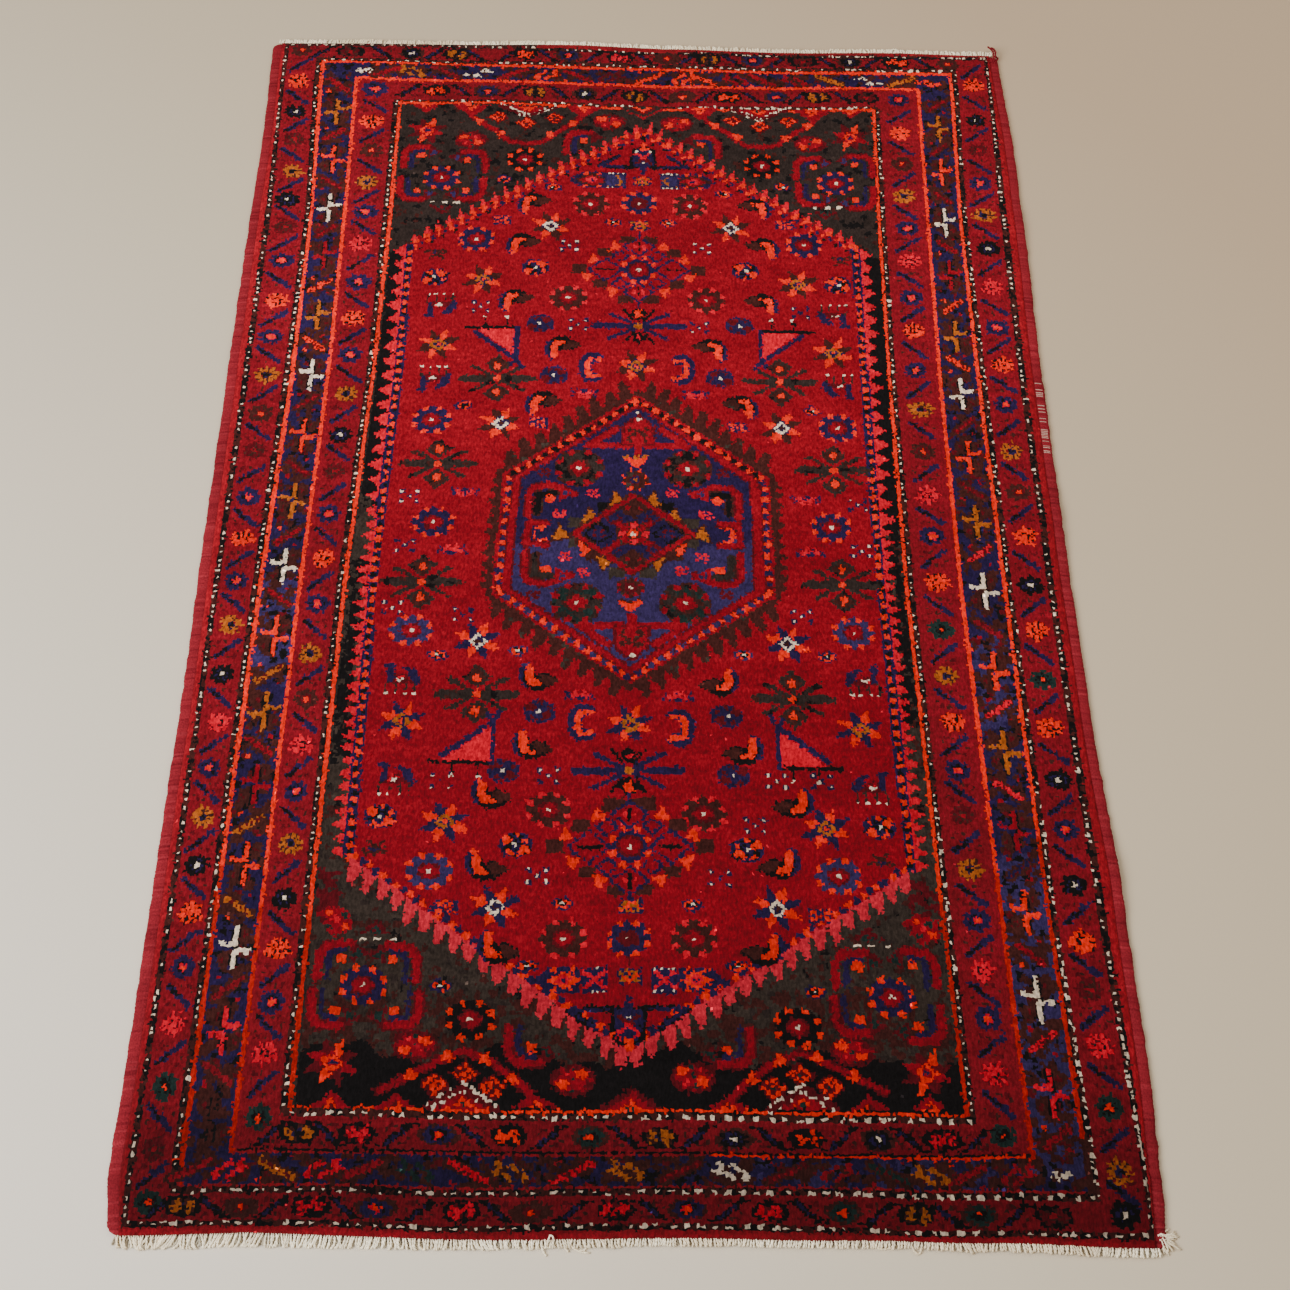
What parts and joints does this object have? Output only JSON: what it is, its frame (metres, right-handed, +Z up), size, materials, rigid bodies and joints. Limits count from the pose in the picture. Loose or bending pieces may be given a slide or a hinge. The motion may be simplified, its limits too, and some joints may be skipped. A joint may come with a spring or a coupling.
{
  "type": "oriental rug",
  "caption": "Flat rectangular hand-knotted rug with a lozenge medallion, bordered edges, overcast side cords and a short fringe of cut warp ends at both ends.",
  "frame": {"origin": "middle of the floor under the rug, at the centre of its overall box", "axes": "+Y along the rug from the near end to the far end, +X to the right across it, +Z up out of the pile"},
  "size_m": [1.3226, 2.1566, 0.0153],
  "materials": {
    "wool_pile": "clipped wool pile in many dyed colours, mostly madder red",
    "selvedge_wool": "madder red wool yarn wrapped tightly round the outer warps",
    "warp_cotton": "undyed twisted cotton warp, cut short"
  },
  "bodies": {
    "root": {"knotted_carpet": "wool_pile", "selvedge_left": "selvedge_wool", "selvedge_right": "selvedge_wool", "fringe_near": "warp_cotton", "fringe_far": "warp_cotton"}
  },
  "joints": []
}
